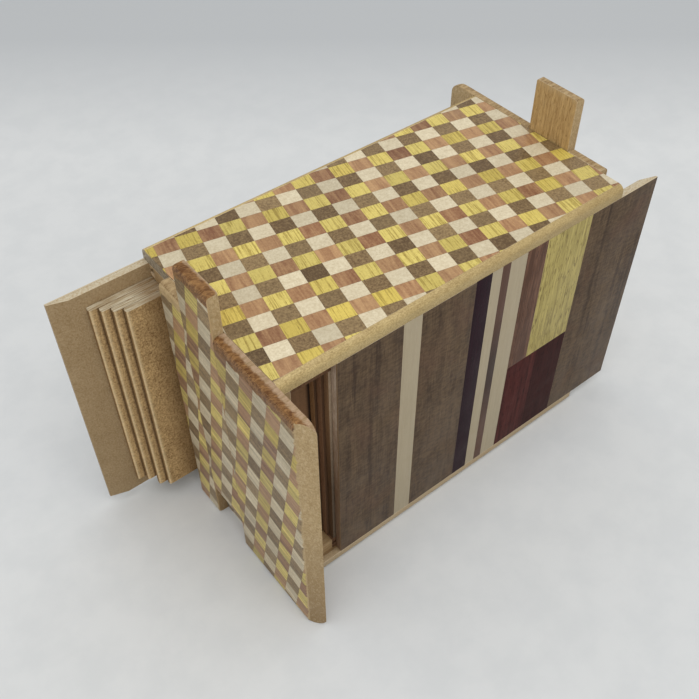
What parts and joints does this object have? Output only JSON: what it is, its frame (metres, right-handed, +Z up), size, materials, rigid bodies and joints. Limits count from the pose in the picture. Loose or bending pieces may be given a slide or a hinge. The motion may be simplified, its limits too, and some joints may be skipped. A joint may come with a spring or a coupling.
{
  "type": "puzzle box",
  "caption": "Rectangular wooden puzzle box with checker and striped veneer, sliding long panels, inner slats and interlocking end pieces, shown half opened.",
  "frame": {"origin": "middle of the closed box on the surface that it stands on", "axes": "+X along the box's length, +Y to its back across the width, +Z up"},
  "size_m": [0.198, 0.104, 0.1318],
  "materials": {
    "checker_lid": "satin",
    "checker_end": "satin",
    "deck_wood": "satin",
    "edge_wood": "satin",
    "frame_wood": "matte",
    "fibreboard": "matte",
    "end_core": "matte",
    "walnut": "satin",
    "light_strip": "satin",
    "purple_strip": "satin",
    "thin_brown": "satin",
    "russet_strip": "satin",
    "yellow_strip": "satin",
    "dark_red_strip": "satin",
    "dark_rail": "matte"
  },
  "bodies": {
    "frame": {"lid_board": "deck_wood", "lid_veneer": "checker_lid", "lid_front_edge": "edge_wood", "lid_back_edge": "edge_wood", "bottom_board": "deck_wood", "bottom_veneer": "checker_lid", "bottom_front_edge": "edge_wood", "bottom_back_edge": "edge_wood", "left_end_wall": "frame_wood", "right_end_wall": "frame_wood", "front_upper_rail": "frame_wood", "front_lower_rail": "dark_rail", "front_rail_block": "frame_wood", "back_upper_rail": "frame_wood", "back_lower_rail": "frame_wood", "back_rail_block": "frame_wood"},
    "front_panel": {"front_panel_board": "fibreboard", "front_upper_runner": "frame_wood", "front_lower_runner": "frame_wood", "strip_walnut_left": "walnut", "strip_light_1": "light_strip", "strip_walnut_middle": "walnut", "strip_purple": "purple_strip", "strip_light_2": "light_strip", "strip_thin_brown": "thin_brown", "strip_light_3": "light_strip", "strip_russet": "russet_strip", "strip_yellow": "yellow_strip", "strip_dark_red": "dark_red_strip", "strip_walnut_right": "walnut"},
    "back_panel": {"back_panel_board": "fibreboard", "back_panel_veneer": "walnut", "back_upper_runner": "frame_wood", "back_lower_runner": "frame_wood"},
    "front_slat_1": {"front_slat_1": "fibreboard"},
    "front_slat_2": {"front_slat_2": "fibreboard"},
    "front_slat_3": {"front_slat_3": "fibreboard"},
    "front_slat_4": {"front_slat_4": "fibreboard"},
    "back_slat_1": {"back_slat_1": "fibreboard"},
    "back_slat_2": {"back_slat_2": "fibreboard"},
    "back_slat_3": {"back_slat_3": "fibreboard"},
    "back_slat_4": {"back_slat_4": "fibreboard"},
    "left_end": {"left_wide_core": "end_core", "left_wide_veneer": "checker_end", "left_narrow_core": "end_core", "left_narrow_veneer": "checker_end", "left_batten": "frame_wood"},
    "left_middle": {"left_middle_core": "end_core", "left_middle_veneer": "checker_end"},
    "right_end": {"right_wide_core": "end_core", "right_wide_veneer": "checker_end", "right_narrow_core": "end_core", "right_narrow_veneer": "checker_end", "right_batten": "frame_wood"},
    "right_middle": {"right_middle_core": "end_core", "right_middle_veneer": "checker_end"}
  },
  "joints": [
    {"name": "front_panel_slide", "type": "slide", "parent": "frame", "child": "front_panel", "axis": [1, 0, 0], "range_m": [-0.0198, 0.01]},
    {"name": "back_panel_slide", "type": "slide", "parent": "frame", "child": "back_panel", "axis": [1, 0, 0], "range_m": [-0.004, 0.0351]},
    {"name": "front_slat_1_slide", "type": "slide", "parent": "frame", "child": "front_slat_1", "axis": [1, 0, 0], "range_m": [-0.0131, 0.006]},
    {"name": "front_slat_2_slide", "type": "slide", "parent": "frame", "child": "front_slat_2", "axis": [1, 0, 0], "range_m": [-0.01215, 0.006]},
    {"name": "front_slat_3_slide", "type": "slide", "parent": "frame", "child": "front_slat_3", "axis": [1, 0, 0], "range_m": [-0.0112, 0.006]},
    {"name": "front_slat_4_slide", "type": "slide", "parent": "frame", "child": "front_slat_4", "axis": [1, 0, 0], "range_m": [0, 0.0058]},
    {"name": "back_slat_1_slide", "type": "slide", "parent": "frame", "child": "back_slat_1", "axis": [1, 0, 0], "range_m": [-0.003, 0.0298]},
    {"name": "back_slat_2_slide", "type": "slide", "parent": "frame", "child": "back_slat_2", "axis": [1, 0, 0], "range_m": [-0.003, 0.0268]},
    {"name": "back_slat_3_slide", "type": "slide", "parent": "frame", "child": "back_slat_3", "axis": [1, 0, 0], "range_m": [-0.003, 0.0238]},
    {"name": "back_slat_4_slide", "type": "slide", "parent": "frame", "child": "back_slat_4", "axis": [1, 0, 0], "range_m": [-0.003, 0.0208]},
    {"name": "left_end_slide", "type": "slide", "parent": "frame", "child": "left_end", "axis": [0, 1, 0], "range_m": [0, 0.0045]},
    {"name": "right_end_slide", "type": "slide", "parent": "frame", "child": "right_end", "axis": [0, 1, 0], "range_m": [0, 0.007]},
    {"name": "left_middle_slide", "type": "slide", "parent": "left_end", "child": "left_middle", "axis": [0, 0, 1], "range_m": [-0.0159, 0]},
    {"name": "right_middle_slide", "type": "slide", "parent": "right_end", "child": "right_middle", "axis": [0, 0, 1], "range_m": [-0.0201, 0]}
  ]
}
